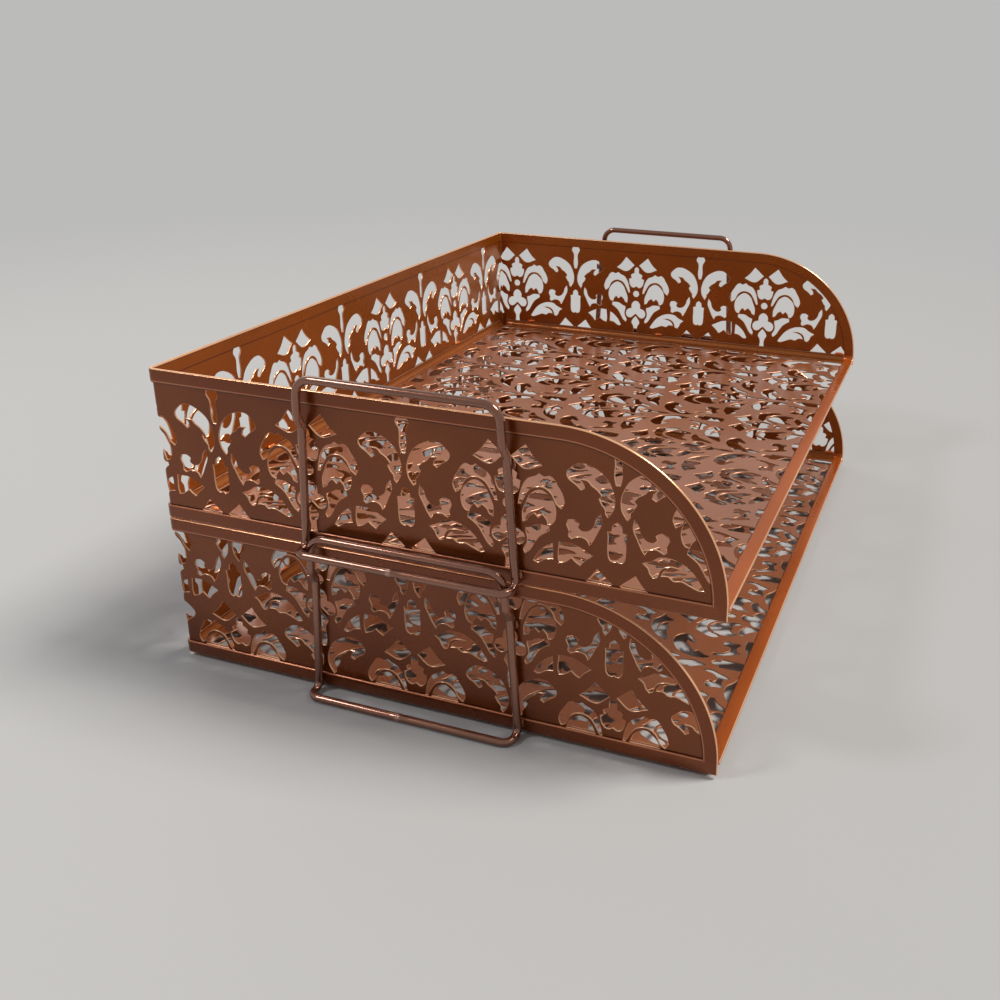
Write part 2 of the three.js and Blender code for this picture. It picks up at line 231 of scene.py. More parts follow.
def rounded_outline(points):
    """A closed outline as a smooth curve through its points, with sharp tips where it turns hard."""
    pts = [np.array(p, float) for p in points]
    n = len(pts)
    ways = [(pts[(i + 1) % n] - pts[i]) for i in range(n)]
    lengths = [max(np.linalg.norm(w), TINY) for w in ways]
    ways = [w / length for w, length in zip(ways, lengths)]
    tangents = []
    for i in range(n):
        turn = math.degrees(math.acos(np.clip(ways[i - 1] @ ways[i], -1, 1)))
        both = ways[i - 1] + ways[i]
        sharp = turn > SHARP_TURN
        tangents.append(None if sharp else both / np.linalg.norm(both))
    out = []
    for i in range(n):
        a, b = pts[i], pts[(i + 1) % n]
        start = ways[i] if tangents[i] is None else tangents[i]
        end = ways[i] if tangents[(i + 1) % n] is None else tangents[(i + 1) % n]
        steps = max(1, round(lengths[i] / OUTLINE_STEP))
        for k in range(steps):
            t = k / steps
            place = (2 * t**3 - 3 * t**2 + 1) * a + (3 * t**2 - 2 * t**3) * b
            place = place + ((t**3 - 2 * t**2 + t) * start + (t**3 - t**2) * end) * lengths[i]
            out.append((float(place[0]), float(place[1])))
    return out


def damask_openings():
    """Every opening of one repeat: the leaves of the acanthus, and all the others."""
    outlines = [half + mirrored(half[1:-1]) for half in HALVES.values()]
    for right in RIGHTS.values():
        outlines += [right, mirrored(right)]
    leaves, others = [
        [rounded_outline(counter_clockwise(outline)) for outline in kind]
        for kind in (LEAVES.values(), outlines)
    ]
    x, y = DOT_CENTRE
    turns = [2 * math.pi * k / DOT_SIDES for k in range(DOT_SIDES)]
    dot = [(x + DOT_RADIUS * math.cos(a), y + DOT_RADIUS * math.sin(a)) for a in turns]
    return leaves, others + [dot]


def reach(places, low, high):
    """How far an opening reaches inside two limits."""
    return min(max(places), high) - max(min(places), low)


def pattern(column, row, window, leaf_top=math.inf):
    """The placed openings that show inside a window of low and high corners. A leaf is placed only where it
    ends below leaf_top."""
    (x0, y0), (x1, y1) = window
    period = 2 * HALF_DROP
    leaves, others = damask_openings()
    shapes = [(shape, leaf_top) for shape in leaves] + [(shape, math.inf) for shape in others]
    placed = []
    for c in range(math.floor((x0 - column) / PITCH) - 1, math.ceil((x1 - column) / PITCH) + 2):
        start = row + (HALF_DROP if c % 2 else 0)
        for r in range(math.floor((y0 - start) / period) - 1, math.ceil((y1 - start) / period) + 2):
            at = (column + c * PITCH, start + r * period)
            for shape, top in shapes:
                xs = [at[0] + x for x, _ in shape]
                ys = [at[1] + y for _, y in shape]
                shown = min(reach(xs, x0, x1), reach(ys, y0, y1))
                if max(ys) < top and shown > LEAST_SHOWN:
                    placed.append(list(zip(xs, ys)))
    return placed


def cut_sheet(outline, window, inner, openings, crease_lines):
    """Triangles of a flat sheet with openings kept inside a window, and edges along the lines it is bent at.
    The last list tells which triangles lie in the band between the window and the line inside it, which is
    painted shade."""
    points = []
    faces = []
    for loop in [outline, window, inner, *openings]:
        loop = counter_clockwise(loop)
        faces.append(list(range(len(points), len(points) + len(loop))))
        points += loop
    edges = []
    for a, b in crease_lines:
        edges.append((len(points), len(points) + 1))
        points += [a, b]
    keep_all = 0
    made = delaunay_2d_cdt([Vector(p) for p in points], edges, faces, keep_all, MERGE)
    flat, _, triangles, _, _, loops_around = made
    in_outline, in_window, in_inner = range(3)
    kept = []
    seam_shade = []
    for triangle, inside in zip(triangles, loops_around):
        opened = in_window in inside and any(k > in_inner for k in inside)
        if in_outline in inside and not opened:
            kept.append(tuple(triangle))
            seam_shade.append(in_window in inside and in_inner not in inside)
    return np.array([tuple(p) for p in flat]), kept, seam_shade


def sheet_mesh(name, flat, triangles, near_slots, far_slots, place, near, far):
    """A sheet of real thickness from flat triangles. place gives the point at a flat place and a depth, and
    near and far are the depths of its two faces, whose triangles take the material slots that are given.
    Cut edges are bevelled and take the slot for cuts, whose pale paint is a painted highlight."""
    sides = dict.fromkeys(side for a, b, c in triangles for side in ((a, b), (b, c), (c, a)))
    rim = [(a, b) for a, b in sides if (b, a) not in sides]
    push = {}
    for a, b in rim:
        way = flat[b] - flat[a]
        left = np.array([-way[1], way[0]]) / max(np.linalg.norm(way), TINY)
        for k in (a, b):
            push.setdefault(k, []).append(left)
    shift = {}
    for k, normals in push.items():
        total = sum(normals)
        spread = max(float(total @ total) / len(normals), LEAST_SPREAD)
        shift[k] = total * EDGE_BEVEL / spread
    used = sorted({k for t in triangles for k in t})
    vertices = []

    def layer(keys, depth, moved):
        index = {}
        for k in keys:
            at = flat[k] + shift[k] if moved and k in shift else flat[k]
            index[k] = len(vertices)
            vertices.append(place(float(at[0]), float(at[1]), depth))
        return index

    step = math.copysign(EDGE_BEVEL, far - near)
    face_near = layer(used, near, True)
    edge_near = layer(sorted(push), near + step, False)
    edge_far = layer(sorted(push), far - step, False)
    face_far = layer(used, far, True)
    faces = [tuple(face_near[k] for k in t) for t in triangles]
    faces += [tuple(face_far[k] for k in reversed(t)) for t in triangles]
    plain = len(faces)
    for upper, lower in ((face_near, edge_near), (edge_near, edge_far), (edge_far, face_far)):
        faces += [(upper[b], upper[a], lower[a], lower[b]) for a, b in rim]
    slots = near_slots + far_slots + [CUT] * (len(faces) - plain)
    return finish_mesh(name, vertices, faces, slots, SHEET_SHARPNESS)


def finish_mesh(name, vertices, faces, slots, sharpness):
    """A linked object from points in millimetres, smooth shaded with sharp edges over an angle."""
    mesh = bpy.data.meshes.new(name)
    mesh.from_pydata([Vector(v) * MM for v in vertices], [], faces)
    mesh.update()
    mesh.polygons.foreach_set("material_index", slots)
    work = bmesh.new()
    work.from_mesh(mesh)
    bmesh.ops.recalc_face_normals(work, faces=work.faces)
    work.to_mesh(mesh)
    work.free()
    mesh.shade_smooth()
    mesh.set_sharp_from_angle(angle=math.radians(sharpness))
    obj = bpy.data.objects.new(name, mesh)
    bpy.context.scene.collection.objects.link(obj)
    return obj


def sweep(name, rings, side_slots, sharpness, closed=False):
    """A skin over equal rings of points, closed on itself or capped at both ends. side_slots holds the
    material slot of each side of the ring."""
    sides = len(rings[0])
    vertices = [p for ring in rings for p in ring]
    faces = []
    count = len(rings) if closed else len(rings) - 1
    for i in range(count):
        here, onward = i * sides, ((i + 1) % len(rings)) * sides
        for j in range(sides):
            k = (j + 1) % sides
            faces.append((here + j, here + k, onward + k, onward + j))
    slots = side_slots * count
    if not closed:
        faces += [tuple(range(sides)), tuple(len(vertices) - sides + j for j in range(sides))]
        slots += [FACE, FACE]
    return finish_mesh(name, vertices, faces, slots, sharpness)


def dress(obj, tray, nodes, slot, *materials):
    """Gives a piece its materials and body, and hides the nodes it replaces; slot is not used."""
    for material in materials:
        obj.data.materials.append(material)
    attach(obj, f"{tray}_tray")
    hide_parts(*nodes)
    return obj


# Wall: the way along the sheet is u, from the middle of the rear, and the way inwards is the depth
def wall_place(u, z, depth, base):
    """The point of the bent wall at a place along the sheet, a height and a depth inside its outer face."""
    along = abs(u)
    radius = CORNER_RADIUS - depth
    bend_start = HALF_WIDTH - CORNER_RADIUS
    if along <= bend_start:
        x, y = along, HALF_DEPTH - depth
    elif along < HALF_WIDTH + CORNER_RADIUS:
        angle = math.pi / 2 * (1 - (along - bend_start) / (2 * CORNER_RADIUS))
        x = bend_start + radius * math.cos(angle)
        y = HALF_DEPTH - CORNER_RADIUS + radius * math.sin(angle)
    else:
        x, y = HALF_WIDTH - depth, HALF_DEPTH - (along - HALF_WIDTH)
    return (math.copysign(x, u), y, base + z)


def corner_bends():
    """Places along the sheet where it bends, right corner."""
    first = HALF_WIDTH - CORNER_RADIUS
    return [first + 2 * CORNER_RADIUS * k / CORNER_STEPS for k in range(CORNER_STEPS + 1)]


def upper_edge(inset):
    """The wall's upper edge, inside its true edge, from the left front's foot over the top to the right."""
    front = HALF_WIDTH + 2 * HALF_DEPTH - inset
    curve_end = HALF_WIDTH + 2 * HALF_DEPTH - CURVE_DEPTH
    curve_foot = WALL_HEIGHT - CURVE_DROP
    quarter = []
    for k in range(1, CURVE_STEPS + 1):
        angle = math.pi / 2 * k / CURVE_STEPS
        along = curve_end + (CURVE_DEPTH - inset) * math.cos(angle)
        quarter.append((along, max(curve_foot + (CURVE_DROP - inset) * math.sin(angle), inset)))
    stops = [*(curve_end - stop for stop in TOP_STOPS), *reversed(corner_bends()), REAR_STOP]
    right = [(front, inset)] + quarter + [(u, WALL_HEIGHT - inset) for u in stops]
    return [(-u, z) for u, z in right] + right[::-1]


def lower_edge(inset):
    """The wall's lower edge, inside its true edge, from the left front to the right front."""
    front = HALF_WIDTH + 2 * HALF_DEPTH - inset
    stops = [front, *(front - stop for stop in FOOT_STOPS), *reversed(corner_bends()), REAR_STOP]
    right = [(u, inset) for u in stops]
    return [(-u, z) for u, z in right] + right[::-1]


def wall_outline(inset):
    """The whole wall's outline inside its true edge, without points that fall together."""
    line = upper_edge(inset)
    kept = [line[0]]
    for p in line[1:]:
        if math.dist(p, kept[-1]) > SAME_PLACE:
            kept.append(p)
    return kept


def wall_panel(tray):
    """The perforated sheet bent into the left, rear and right walls."""
    base = BASE[tray]
    outline = wall_outline(PANEL_INSET)
    window = wall_outline(STRIP_WIDTH)
    inner = wall_outline(STRIP_WIDTH + SEAM_SHADE_WIDTH)
    us = [u for u, _ in window]
    zs = [z for _, z in window]
    limits = ((min(us), min(zs)), (max(us), max(zs)))
    creases = []
    for u in corner_bends():
        for way in (-u, u):
            creases.append(((way, PANEL_INSET), (way, WALL_HEIGHT - PANEL_INSET)))
    openings = pattern(WALL_COLUMN_FROM_CORNER - HALF_WIDTH, WALL_RISE[tray], limits, max(zs))
    # Triangles in the band along the strips take painted shade
    flat, triangles, seam_shade = cut_sheet(outline, window, inner, openings, creases)
    # The outer face takes a darker copy of the paint as painted shade, and the inner face a lighter copy as
    # painted light
    outside = [SEAM_SHADE_BAND if dark else FACE for dark in seam_shade]
    inside = [SEAM_SHADE_BAND if dark else INNER for dark in seam_shade]

    def place(u, z, depth):
        return wall_place(u, z, depth, base)

    made = sheet_mesh(f"{tray}_damask_wall", flat, triangles, outside, inside, place, PANEL_INSET, WALL)
    paints = (SHADED_WALL_PAINT, CUT_HIGHLIGHT, SEAM_SHADE_PAINT, LIT_INNER_PAINT)
    return dress(made, tray, [f"{tray}_wall_panel"], "copper_paint", *paints)


# Section of the edge strips: a nose over the edge, painted with a pale highlight from its third side to its
# last but one
NOSE_STEPS = 10
NOSE_START = 2
END_STEPS = 4
END_RADIUS = 0.5
EDGE_LINE = 0.45
INSIDE_LAP = 0.35
LAP_CORNER = 0.25
CHAMFER = 0.1
SHEET_GAP = 0.01


def strip_section():
    """A rounded nose over the edge, a short lap inside, and a flange with a rounded end outside. Each point
    is a depth inside the outer face and a distance from the edge."""
    nose = WALL / 2
    turns = [math.pi * k / NOSE_STEPS for k in range(NOSE_STEPS + 1)]
    points = [(nose - nose * math.cos(a), nose - nose * math.sin(a)) for a in turns]
    face = STRIP + SHEET_GAP
    lap = [(WALL, STRIP + LAP_CORNER), (WALL - CHAMFER, STRIP + INSIDE_LAP), (face, STRIP + INSIDE_LAP)]
    flange = [(face, STRIP_WIDTH - CHAMFER), (STRIP - CHAMFER, STRIP_WIDTH)]
    end = STRIP_WIDTH - END_RADIUS
    turns = [math.pi / 2 * k / (END_STEPS - 1) for k in range(END_STEPS)]
    round_end = [(END_RADIUS - END_RADIUS * math.sin(a), end + END_RADIUS * math.cos(a)) for a in turns]
    return points + lap + flange + round_end + [(0.0, end - EDGE_LINE)]


def edge_strip(name, tray, line, node, end_slots):
    """A strip swept along an edge line of the wall, mitred at the front feet. end_slots are the material
    slots of its rounded end and of the line beside it, which take painted shade and painted highlight."""
    base = BASE[tray]
    section = strip_section()
    rings = []
    for (u0, z0), (u1, z1) in zip(line(0.0), line(STRIP_WIDTH)):
        ring = []
        for depth, inset in section:
            share = inset / STRIP_WIDTH
            ring.append(wall_place(u0 + (u1 - u0) * share, z0 + (z1 - z0) * share, depth, base))
        rings.append(ring)
    last = len(section) - 1
    slots = [STRIP_FACE] * len(section)
    for side in range(NOSE_START, NOSE_STEPS - 1):
        slots[side] = STRIP_NOSE_HIGHLIGHT
    for side in range(last - END_STEPS, last - 1):
        slots[side] = end_slots[0]
    slots[last - 1] = end_slots[1]
    made = sweep(name, rings, slots, STRIP_SHARPNESS)
    return dress(made, tray, [node], "copper_paint_edge", SHADED_EDGE_PAINT, NOSE_HIGHLIGHT_PAINT, SEAM_SHADE_PAINT, LINE_HIGHLIGHT_PAINT)


# Floor pan: flat places are x and y, and past the flat part they run on round the bend and up the flange
BEND_MID = FLOOR_BEND + SHEET / 2
BEND_RUN = math.pi / 2 * BEND_MID
FLANGE_RUN = BEND_RUN + FLANGE_HEIGHT - FLOOR_HEIGHT - FLOOR_BEND


def rolled(way, flat, depth):
    """Sideways place and height of the pan's section at a flat place, a depth under its upper face."""
    run = abs(way) - flat
    if run <= 0:
        return way, FLOOR_HEIGHT - depth
    radius = FLOOR_BEND + depth
    angle = min(run / BEND_MID, math.pi / 2)
    out = flat + radius * math.sin(angle)
    height = FLOOR_HEIGHT + FLOOR_BEND - radius * math.cos(angle) + max(run - BEND_RUN, 0)
    return math.copysign(out, way), height


def pan_place(x, y, depth, base):
    """The point of the bent pan at a flat place, a depth under its upper face."""
    if y > FLAT_Y:
        out, height = rolled(y, FLAT_Y, depth)
        return (x, out, base + height)
    out, height = rolled(x, FLAT_X, depth)
    return (out, y, base + height)


def bend_runs():
    """Runs past the flat part at which the pan is bent."""
    return [BEND_RUN * k / CORNER_STEPS for k in range(CORNER_STEPS + 1)]


def floor_pan(tray):
    """The perforated floor with its flanges at the left, right and rear."""
    base = BASE[tray]
    front = -HALF_DEPTH + FRONT_STRIP + SEAM
    side = FLAT_X + FLANGE_RUN
    rear = FLAT_Y + FLANGE_RUN
    rear_x = PAN_HALF_WIDTH - FLANGE_CORNER_GAP
    half = [(side, front), (side, FLAT_Y), (rear_x, FLAT_Y), (rear_x, rear)]
    outline = half + mirrored(half)
    low = (FLOOR_MARGIN - FLAT_X, -HALF_DEPTH + STRIP_WIDTH)
    high = (FLAT_X - FLOOR_MARGIN, FLAT_Y - FLOOR_MARGIN)
    window = [low, (high[0], low[1]), high, (low[0], high[1])]
    inner = [(x, max(y, low[1] + SEAM_SHADE_WIDTH)) for x, y in window]
    creases = []
    for run in bend_runs():
        creases.append(((-rear_x, FLAT_Y + run), (rear_x, FLAT_Y + run)))
        for sign in (-1, 1):
            x = sign * (FLAT_X + run)
            creases.append(((x, front), (x, FLAT_Y)))
    openings = pattern(FLOOR_COLUMN_X, FLOOR_ROW_Y, (low, high))
    # The band along the front strip takes painted shade
    flat, triangles, seam_shade = cut_sheet(outline, window, inner, openings, creases)
    # The flat floor takes the lighter pan copy and the turned-up flanges the lighter inner copy, both painted
    # light
    slots = []
    for triangle, dark in zip(triangles, seam_shade):
        x, y = np.mean([flat[k] for k in triangle], axis=0)
        turned_up = abs(x) > FLAT_X or y > FLAT_Y
        slots.append(SEAM_SHADE_BAND if dark else INNER if turned_up else FACE)

    def place(x, y, depth):
        return pan_place(x, y, depth, base)

    made = sheet_mesh(f"{tray}_damask_floor", flat, triangles, slots, slots, place, 0.0, SHEET)
    paints = (LIT_PAN_PAINT, PAN_CUT_HIGHLIGHT, SEAM_SHADE_PAINT, LIT_INNER_PAINT)
    return dress(made, tray, [f"{tray}_floor_pan"], "copper_paint", *paints)


# Section of the front strip: its nose, and its rounded edges as a depth and a distance from the corner
LIP_NOSE_SHARE = 0.9
LIP_NOSE_STEPS = 5
LAP_ROUNDING = ((0.0, -0.3), (0.12, -0.08))
FOOT_ROUNDING = ((0.0, 0.3), (-0.15, 0.1), (-0.4, 0.0))

# Places along the front strip, out from its middle
LIP_STOPS = [0, 60, 120]


def front_strip(tray):
    """The strip over the floor's front edge, turned up at its ends."""
    base = BASE[tray]
    front = -HALF_DEPTH
    lap_end = front + STRIP_WIDTH
    top, under = -FRONT_STRIP, SHEET
    nose = FRONT_STRIP * LIP_NOSE_SHARE
    section = [(top + down, lap_end + along) for down, along in LAP_ROUNDING]
    section += [(-SEAM, lap_end), (-SEAM, front + FRONT_STRIP), (under, front + FRONT_STRIP)]
    section += [(under + down, front + along) for down, along in FOOT_ROUNDING]
    section.append((top + nose, front))
    nose_start = len(section)
    for k in range(1, LIP_NOSE_STEPS + 1):
        angle = math.pi / 2 * k / LIP_NOSE_STEPS
        section.append((top + nose - nose * math.sin(angle), front + nose - nose * math.cos(angle)))
    # The lip's nose takes the pale paint as a painted highlight
    slots = [STRIP_FACE] * nose_start + [STRIP_NOSE_HIGHLIGHT] * (LIP_NOSE_STEPS - 1) + [STRIP_FACE]
    stops = LIP_STOPS + [FLAT_X + run for run in bend_runs()] + [FLAT_X + FLANGE_RUN]
    line = [-x for x in reversed(stops[1:])] + stops
    rings = [[pan_place(x, y, depth, base) for depth, y in section] for x in line]
    made = sweep(f"{tray}_front_lip", rings, slots, STRIP_SHARPNESS)
    return dress(made, tray, [f"{tray}_front_strip"], "copper_paint_edge", LIT_LIP_PAINT, NOSE_HIGHLIGHT_PAINT)


# Wire loops
def leg_y(sign, z):
    """Place along the wall of a leg at a height, on the front side (-1) or the rear side (1)."""
    return LOOP_CENTRE + sign * (LOOP_BOTTOM_HALF + (LOOP_TOP_HALF - LOOP_BOTTOM_HALF) * z / LOOP_TOP)


def loop_corners():
    """Corners of the left loop: outward offset, height, bend radius, for the front side and then the rear."""
    side = [
        (LOOP_TOP_OFFSET, LOOP_TOP, BEND_RADII["top"]),
        (LOOP_TOP_OFFSET, KINK_TOP, BEND_RADII["kink"]),
        (LEG_OFFSET, KINK_BOTTOM, BEND_RADII["kink"]),
        (LEG_OFFSET, 0.0, BEND_RADII["jog"]),
        (LOOP_BOTTOM_OFFSET, 0.0, BEND_RADII["bottom"]),
    ]
    line = [(-1, corner) for corner in side] + [(1, corner) for corner in reversed(side)]
    return [(Vector((-HALF_WIDTH - out, leg_y(sign, z), z)), radius) for sign, (out, z, radius) in line]


def loop_path():
    """Points along the middle of the left loop, with bends as arcs and even steps on the straights."""
    corners = loop_corners()
    n = len(corners)
    bends = []
    for i, (at, radius) in enumerate(corners):
        back = (corners[i - 1][0] - at).normalized()
        ahead = (corners[(i + 1) % n][0] - at).normalized()
        turn = math.pi - back.angle(ahead)
        centre = at + (back + ahead).normalized() * (radius / math.cos(turn / 2))
        start = at + back * radius * math.tan(turn / 2) - centre
        end = at + ahead * radius * math.tan(turn / 2) - centre
        axis = start.cross(end).normalized()
        steps = max(FEWEST_BEND_STEPS, round(math.degrees(turn) / WIRE_TURN))
        bends.append([centre + Matrix.Rotation(turn * k / steps, 3, axis) @ start for k in range(steps + 1)])
    path = []
    for i, bend in enumerate(bends):
        path += bend
        onward = bends[(i + 1) % n][0]
        steps = max(1, round((onward - bend[-1]).length / WIRE_STEP))
        path += [bend[-1].lerp(onward, k / steps) for k in range(1, steps)]
    return path


# Butt weld in the bottom bar: a low collar with a fine groove in its middle
BUTT_Y = LOOP_CENTRE + 3.5
BUTT_HALF = 1.4
BUTT_RISE = 0.16
BUTT_GROOVE = 0.22
GROOVE_SHARE = 0.2
BUTT_RINGS = (-1, -0.75, -0.5, -0.25, -0.1, 0, 0.1, 0.25, 0.5, 0.75, 1)


def wire_loop(tray, side):
    """A round wire bent to a closed loop, with a dressed butt weld near the middle of its bottom bar."""
    mirror = SIDES[side]
    path = loop_path()
    bar_x = -HALF_WIDTH - LOOP_BOTTOM_OFFSET
    bar = [k for k, p in enumerate(path) if abs(p.z) < CLOSE and abs(p.x - bar_x) < CLOSE]
    middle = min(bar, key=lambda k: abs(path[k].y - BUTT_Y))
    collar = [Vector((path[middle].x, BUTT_Y + BUTT_HALF * share, 0.0)) for share in BUTT_RINGS]
    path = path[:middle] + collar + path[middle + 1 :]
    across = Vector((1, 0, 0))
    rings = []
    marks = []
    n = len(path)
    for i, point in enumerate(path):
        back = (point - path[i - 1]).normalized()
        ahead = (path[(i + 1) % n] - point).normalized()
        tangent = (back + ahead).normalized()
        across = (across - tangent * across.dot(tangent)).normalized()
        up = tangent.cross(across)
        on_weld = abs(point.z) < CLOSE and abs(point.y - BUTT_Y) <= BUTT_HALF + CLOSE
        off = abs(point.y - BUTT_Y) / BUTT_HALF if on_weld else 1
        radius = WIRE_RADIUS
        if on_weld:
            radius += BUTT_RISE * (1 - off * off) - BUTT_GROOVE * max(0, 1 - off / GROOVE_SHARE)
        ring = []
        for j in range(WIRE_SIDES):
            angle = 2 * math.pi * j / WIRE_SIDES
            out = across * math.cos(angle) + up * math.sin(angle)
            place = point + out * radius
            ring.append((place.x * mirror, place.y, max(place.z, -WIRE_RADIUS) + BASE[tray]))
        rings.append(ring)
        marks += [1 - off] * WIRE_SIDES
    made = sweep(f"{tray}_{side}_wire", rings, [FACE] * WIRE_SIDES, WIRE_SHARPNESS, closed=True)
    mark = made.data.attributes.new("weld", "FLOAT", "POINT")
    mark.data.foreach_set("value", marks)
    return dress(made, tray, [f"{tray}_{side}_wire_loop"], "wire_paint", WIRE_PAINT)


# Welds: shape of a drop, and how its size, lean and seed differ
DROP_FINENESS = 4
COARSE_HEIGHT, COARSE_SCALE = 0.16, 1.3
FINE_HEIGHT, FINE_SCALE = 0.07, 3.1
BEAD_GROWTH = 0.92
TACK_GROWTH = 1.15
BEAD_LEAN = {"front": 0.3, "rear": -0.3}
FIRST_SEED = {"upper": 3.7, "lower": 11.2}
SEED_STEP = 1.9


def lump(name, tray, node, slot, material, grow, seed, lean=0.0):
    """A weld: a rough rounded drop in its node's box. lean moves it along Y and makes it narrower."""
    low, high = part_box(node)
    centre = (low + high) / 2
    half = (high - low) / 2
    centre.y += lean * half.y
    half.y *= 1 - abs(lean)
    work = bmesh.new()
    bmesh.ops.create_icosphere(work, subdivisions=DROP_FINENESS, radius=1)
    for vertex in work.verts:
        way = vertex.co.copy()
        coarse = noise.noise(way * COARSE_SCALE + Vector((seed, 0, 0)))
        rough = 1 + COARSE_HEIGHT * coarse + FINE_HEIGHT * noise.noise(way * FINE_SCALE)
        vertex.co = centre + Vector((way.x * half.x, way.y * half.y, way.z * half.z)) * rough * grow
    mesh = bpy.data.meshes.new(name)
    work.to_mesh(mesh)
    work.free()
    mesh.shade_smooth()
    obj = bpy.data.objects.new(name, mesh)
    bpy.context.scene.collection.objects.link(obj)
    return dress(obj, tray, [node], slot, material)


def welds(tray):
    """The beads beside the loops' legs and the tacks on the floor's flanges."""
    seed = FIRST_SEED[tray]
    for side in SIDES:
        for end, lean in BEAD_LEAN.items():
            for level in ("upper", "lower"):
                weld = f"{tray}_{side}_{end}_{level}"
                node = f"{weld}_wire_weld"
                lump(f"{weld}_bead", tray, node, "wire_paint", BEAD_PAINT, BEAD_GROWTH, seed, lean)
                seed += SEED_STEP
        for tack in (f"{side}_front", f"{side}_middle", f"{side}_rear", f"rear_{side}"):
            node = f"{tray}_{tack}_floor_tack"
            # Tacks take a bright paint as a painted highlight
            lump(f"{tray}_{tack}_tack", tray, node, "copper_paint", TACK_HIGHLIGHT_PAINT, TACK_GROWTH, seed)
            seed += SEED_STEP


# Materials
def srgb(*levels):
    """A linear colour from eight-bit screen levels."""
    linear = [v / 255 / 12.92 if v <= 10 else ((v / 255 + 0.055) / 1.055) ** 2.4 for v in levels]
    return (*linear, 1.0)


class Nodes:
    """A short way to write a material's nodes."""

    def __init__(self, name):
        self.material = bpy.data.materials.new(name)
        self.material.use_nodes = True
        self.tree = self.material.node_tree
        self.shader = self.tree.nodes["Principled BSDF"]
        self.coords = self.tree.nodes.new("ShaderNodeTexCoord").outputs["Object"]

    def link(self, a, b):
        self.tree.links.new(a, b)

    def noise(self, scale, detail=2.0, roughness=0.5):
        """Noise in the object's own coordinates, which are metres."""
        made = self.tree.nodes.new("ShaderNodeTexNoise")
        made.inputs["Scale"].default_value = scale
        made.inputs["Detail"].default_value = detail
        made.inputs["Roughness"].default_value = roughness
        self.link(self.coords, made.inputs["Vector"])
        return made.outputs["Fac"]

    def span(self, value, low, high, to_low=0.0, to_high=1.0):
        """A value from low to high, mapped to a new range."""
        made = self.tree.nodes.new("ShaderNodeMapRange")
        made.inputs["From Min"].default_value = low
        made.inputs["From Max"].default_value = high
        made.inputs["To Min"].default_value = to_low
        made.inputs["To Max"].default_value = to_high
        self.link(value, made.inputs["Value"])
        return made.outputs["Result"]

    def mix(self, share, a, b):
        """Colour a, and b as far as the share says."""
        made = self.tree.nodes.new("ShaderNodeMix")
        made.data_type = "RGBA"
        self.link(share, made.inputs["Factor"])
        for socket, value in ((made.inputs["A"], a), (made.inputs["B"], b)):
            if isinstance(value, tuple):
                socket.default_value = value
            else:
                self.link(value, socket)
        return made.outputs["Result"]

    def product(self, a, b):
        """Two values multiplied."""
        made = self.tree.nodes.new("ShaderNodeMath")
        made.operation = "MULTIPLY"
        for socket, value in zip(made.inputs, (a, b)):
            if isinstance(value, (int, float)):
                socket.default_value = value
            else:
                self.link(value, socket)
        return made.outputs["Value"]

    def bump(self, *layers):
        """Bump layers, each a height, a strength and a distance in metres."""
        normal = None
        for height, strength, distance in layers:
            made = self.tree.nodes.new("ShaderNodeBump")
            made.inputs["Strength"].default_value = strength
            made.inputs["Distance"].default_value = distance
            self.link(height, made.inputs["Height"])
            if normal:
                self.link(normal, made.inputs["Normal"])
            normal = made.outputs["Normal"]
        self.link(normal, self.shader.inputs["Normal"])


# Noise scales, in waves per metre
TONE_SCALE = 14
SMUDGE_SCALE = 55
FLAKE_SCALE = 2600
RIPPLE_SCALE = 9
PEEL_SCALE = 620
WIRE_TONE_SCALE = 18
WIRE_SMUDGE_SCALE = 60
WIRE_RIPPLE_SCALE = 24
WIRE_GRAIN_SCALE = 420

# How far smudges make a paint smoother and rougher than its gloss value
SMOOTHER = 0.05
ROUGHER = 0.09


def copper_paint(name, body, shade, glint, gloss, metallic=0.55, edge_wear_and_highlight=0.0, coat=0.35):
    """Metallic paint under clear lacquer, with an uneven tone, fine flakes, orange peel and a rippled sheet.
    body, shade and glint are screen colours; gloss is the roughness; sharp edges show the glint in patches,
    as wear and as a painted highlight."""
    made = Nodes(name)
    body, shade, glint = srgb(*body), srgb(*shade), srgb(*glint)
    tone = made.span(made.noise(TONE_SCALE, detail=3, roughness=0.55), 0.32, 0.68)
    colour = made.mix(tone, body, shade)
    flakes = made.span(made.noise(FLAKE_SCALE, detail=1), 0.58, 0.78, to_high=0.16)
    colour = made.mix(flakes, colour, glint)
    smudge = made.noise(SMUDGE_SCALE, detail=4, roughness=0.62)
    # Sharp edges take the glint colour in patches: partly wear, partly a painted highlight where edges catch
    # the light
    if edge_wear_and_highlight:
        edge = made.tree.nodes.new("ShaderNodeNewGeometry").outputs["Pointiness"]
        patchy = made.product(made.span(edge, 0.52, 0.6), made.span(smudge, 0.4, 0.6, to_low=0.25))
        colour = made.mix(made.product(patchy, edge_wear_and_highlight), colour, glint)
    made.link(colour, made.shader.inputs["Base Color"])
    made.shader.inputs["Metallic"].default_value = metallic
    made.shader.inputs["Coat Weight"].default_value = coat
    made.shader.inputs["Coat IOR"].default_value = 1.48
    made.shader.inputs["Coat Roughness"].default_value = 0.2
    roughness = made.span(smudge, 0.3, 0.7, to_low=gloss - SMOOTHER, to_high=gloss + ROUGHER)
    made.link(roughness, made.shader.inputs["Roughness"])
    ripple = (made.noise(RIPPLE_SCALE, roughness=0.4), 0.35, 0.0022)
    peel = (made.noise(PEEL_SCALE), 0.12, 0.0003)
    made.bump(ripple, peel)
    return made.material


